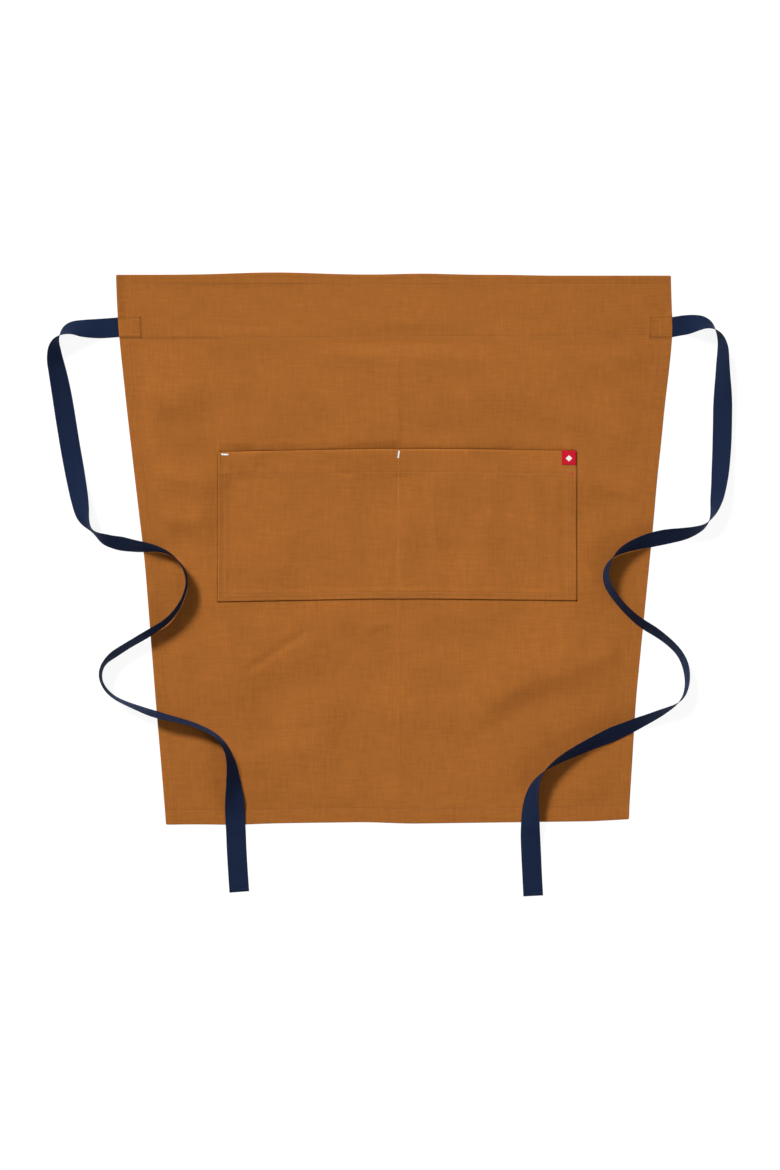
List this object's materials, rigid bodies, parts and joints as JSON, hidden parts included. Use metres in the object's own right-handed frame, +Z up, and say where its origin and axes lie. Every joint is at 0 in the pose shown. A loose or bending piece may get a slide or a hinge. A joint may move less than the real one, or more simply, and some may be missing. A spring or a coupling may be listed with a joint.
{
  "type": "waist apron",
  "caption": "Canvas waist apron laid flat, with a divided front patch pocket and a long tape tie at each end of its waistband.",
  "frame": {"origin": "under the middle of the cloth's outline, ties left out, on the surface that it lies on", "axes": "+Z up, out of the front of the cloth; +Y towards the waistband; +X towards the pocket's labelled side"},
  "size_m": [0.8894, 0.7989, 0.0281],
  "materials": {
    "canvas": "ochre brown cotton canvas, plain weave, matt",
    "tape": "navy blue cotton twill tape, matt",
    "label": "red woven label with a small white diamond",
    "tan_thread": "tan polyester sewing thread",
    "white_thread": "white satin-stitched thread",
    "red_thread": "red satin-stitched thread",
    "navy_thread": "navy sewing thread"
  },
  "bodies": {
    "apron": {"main_panel": "canvas", "waistband_facing": "canvas", "pocket_patch": "canvas", "pocket_label": "label", "bartack_pocket_left": "white_thread", "bartack_divider": "white_thread", "bartack_label": "red_thread", "label_thread": "red_thread", "side_hem_thread_left": "tan_thread", "side_hem_thread_right": "tan_thread", "bottom_hem_thread": "tan_thread", "waistband_lower_thread": "tan_thread", "waistband_upper_thread": "tan_thread", "pocket_outer_thread": "tan_thread", "pocket_inner_thread": "tan_thread", "pocket_hem_thread": "tan_thread", "pocket_divider_thread": "tan_thread", "tie_left_box_thread": "tan_thread", "tie_right_box_thread": "tan_thread", "tie_left_sewn_end": "tape", "tie_right_sewn_end": "tape"},
    "tie_left": {"tie_left": "tape", "tie_left_end_thread": "navy_thread"},
    "tie_right": {"tie_right": "tape", "tie_right_end_thread": "navy_thread"}
  },
  "joints": [
    {"name": "tie_left_swing", "type": "hinge", "parent": "apron", "child": "tie_left", "pos_m": [-0.3556, 0.2845, 0.00105], "axis": [0, 0, -1], "range_deg": [0, 30]},
    {"name": "tie_right_swing", "type": "hinge", "parent": "apron", "child": "tie_right", "pos_m": [0.3556, 0.2845, 0.00105], "axis": [0, 0, 1], "range_deg": [0, 30]}
  ]
}
